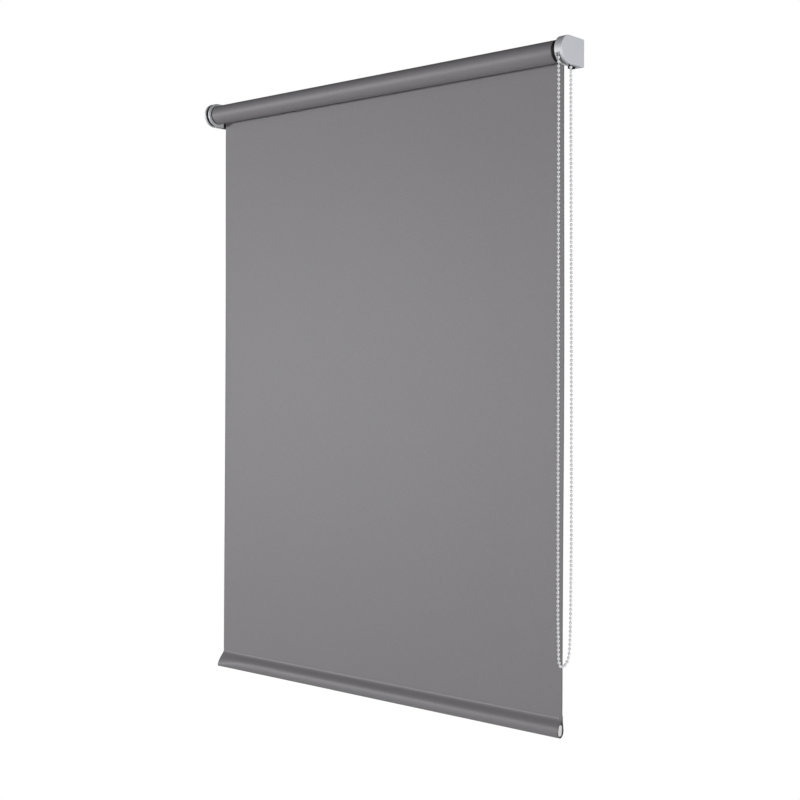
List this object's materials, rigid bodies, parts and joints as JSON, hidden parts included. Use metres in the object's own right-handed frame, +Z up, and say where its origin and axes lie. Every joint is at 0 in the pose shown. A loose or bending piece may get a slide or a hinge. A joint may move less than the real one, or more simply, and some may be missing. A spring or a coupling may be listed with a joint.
{
  "type": "roller blind",
  "caption": "Wall-fixed roller blind: dark grey cloth on a tube between silver end caps, worked by a looped bead chain, with a weighted sewn hem.",
  "frame": {"origin": "middle of the four wall-screw holes, on the wall's surface", "axes": "+X along the roller towards the chain end, -Y into the room, +Z up"},
  "size_m": [0.7344, 0.0555, 0.9652],
  "materials": {
    "silver_shell": "satin silver lacquer on moulded plastic",
    "bracket_steel": "zinc plated sheet steel",
    "black_nylon": "moulded black nylon",
    "grey_acetal": "moulded grey acetal",
    "white_plastic": "moulded white plastic",
    "spring_steel": "oiled spring steel",
    "pin_steel": "turned steel",
    "tube_aluminium": "mill finish extrusion",
    "tape": "double-sided tape",
    "blind_fabric": "plain dark grey polyester weave",
    "chain_plastic": "white moulded beads on a cord"
  },
  "bodies": {
    "root": {"control_cover": "silver_shell", "control_inner_plate": "silver_shell", "control_bracket": "bracket_steel", "chain_guard": "black_nylon", "clutch_hub": "black_nylon", "hub_clip": "spring_steel", "idle_cover": "silver_shell", "idle_inner_plate": "silver_shell", "idle_bracket": "bracket_steel", "idle_block": "black_nylon", "idle_bush": "white_plastic", "fabric_sheet": "blind_fabric", "seated_chain": "chain_plastic"},
    "roller": {"roller_tube": "tube_aluminium", "fixing_tape": "tape", "fabric_roll": "blind_fabric", "drive_plug": "black_nylon", "wrap_spring_1": "spring_steel", "wrap_spring_2": "spring_steel", "idle_plug": "black_nylon", "idle_pin_spring": "spring_steel"},
    "chain_wheel": {"chain_wheel": "grey_acetal"},
    "idle_pin": {"idle_pin": "pin_steel"},
    "hem": {"hem_pocket": "blind_fabric", "hem_bar": "tube_aluminium", "bar_end_caps": "white_plastic"},
    "chain": {"chain_loop": "chain_plastic"}
  },
  "joints": [
    {"name": "roller_turn", "type": "hinge", "parent": "root", "child": "roller", "pos_m": [-0.00295, -0.036, 0], "axis": [1, 0, 0], "range_deg": [0, 3264], "deforming": ["seated_chain"]},
    {"name": "chain_wheel_turn", "type": "hinge", "parent": "root", "child": "chain_wheel", "pos_m": [0.35905, -0.036, 0], "axis": [1, 0, 0], "range_deg": [0, 3264]},
    {"name": "hem_lift", "type": "slide", "parent": "root", "child": "hem", "axis": [0, 0, 1], "range_m": [0, 0.8889], "deforming": ["fabric_sheet"]},
    {"name": "idle_pin_slide", "type": "slide", "parent": "roller", "child": "idle_pin", "axis": [1, 0, 0], "range_m": [0, 0.007], "stiffness_N_per_m": 500, "springref_m": -0.006, "deforming": ["idle_pin_spring"]},
    {"name": "chain_swing", "type": "hinge", "parent": "root", "child": "chain", "pos_m": [0.35905, -0.036, -0.022], "axis": [1, 0, 0], "range_deg": [-15, 1], "deforming": ["chain_loop"]}
  ],
  "couplings": [
    {"joint": "chain_wheel_turn", "follows": "roller_turn", "ratio": 1},
    {"joint": "hem_lift", "follows": "roller_turn", "m_per_rad": 0.0156}
  ]
}
